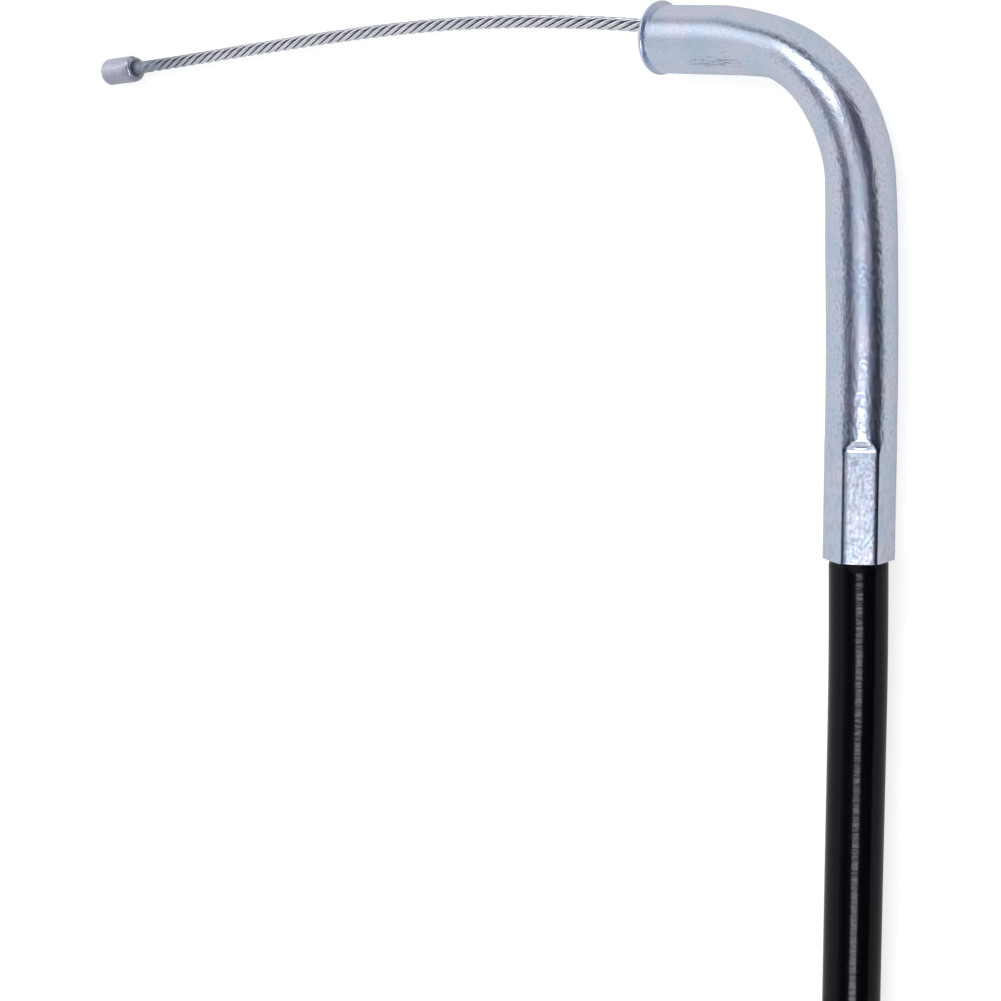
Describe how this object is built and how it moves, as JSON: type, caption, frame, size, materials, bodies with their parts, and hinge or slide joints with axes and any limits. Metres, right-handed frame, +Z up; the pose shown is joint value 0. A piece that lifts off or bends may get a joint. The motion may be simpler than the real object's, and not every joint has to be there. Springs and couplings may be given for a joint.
{
  "type": "control cable",
  "caption": "Pull control cable with a right-angle zinc-plated guide tube hex-crimped to black conduit, stranded steel inner wire and barrel ends",
  "frame": {"origin": "on the surface that the cable lies on, under the middle of the box round the bent tube, the exposed inner wire and its barrel", "axes": "+X runs from the exposed wire's barrel towards the bend, +Y runs from the conduit towards the bend, +Z is up from the surface"},
  "size_m": [0.127, 0.2272, 0.0159],
  "materials": {
    "zinc_tube": "bright zinc plate with fine drawing marks and light scuffs",
    "wire_steel": "bright drawn steel strands, slightly dark in the valleys",
    "barrel_metal": "satin cast zinc",
    "black_jacket": "glossy black extruded plastic",
    "winding_steel": "flat drawn spring steel",
    "liner_plastic": "natural smooth plastic",
    "tie_plastic": "black plastic strap"
  },
  "bodies": {
    "sheath": {"elbow_tube": "zinc_tube", "inner_wire_in_elbow": "wire_steel", "jacket_end_crimp": "black_jacket", "winding_end_crimp": "winding_steel", "liner_end_crimp": "liner_plastic", "conduit": "black_jacket", "conduit_coil": "black_jacket", "coil_tie_1": "tie_plastic", "coil_tie_2": "tie_plastic", "conduit_tail": "black_jacket", "far_sleeve": "zinc_tube", "jacket_end_sleeve": "black_jacket", "winding_end_sleeve": "winding_steel", "liner_end_sleeve": "liner_plastic"},
    "wire": {"inner_wire": "wire_steel", "barrel": "barrel_metal"},
    "far_wire": {"far_inner_wire": "wire_steel", "far_barrel": "barrel_metal"}
  },
  "joints": [
    {"name": "wire_slide", "type": "slide", "parent": "sheath", "child": "wire", "axis": [1, 0, 0], "range_m": [0, 0.015]},
    {"name": "far_wire_slide", "type": "slide", "parent": "sheath", "child": "far_wire", "axis": [-1, 0, 0], "range_m": [0, 0.015]}
  ],
  "couplings": [
    {"joint": "far_wire_slide", "follows": "wire_slide", "ratio": 1}
  ]
}
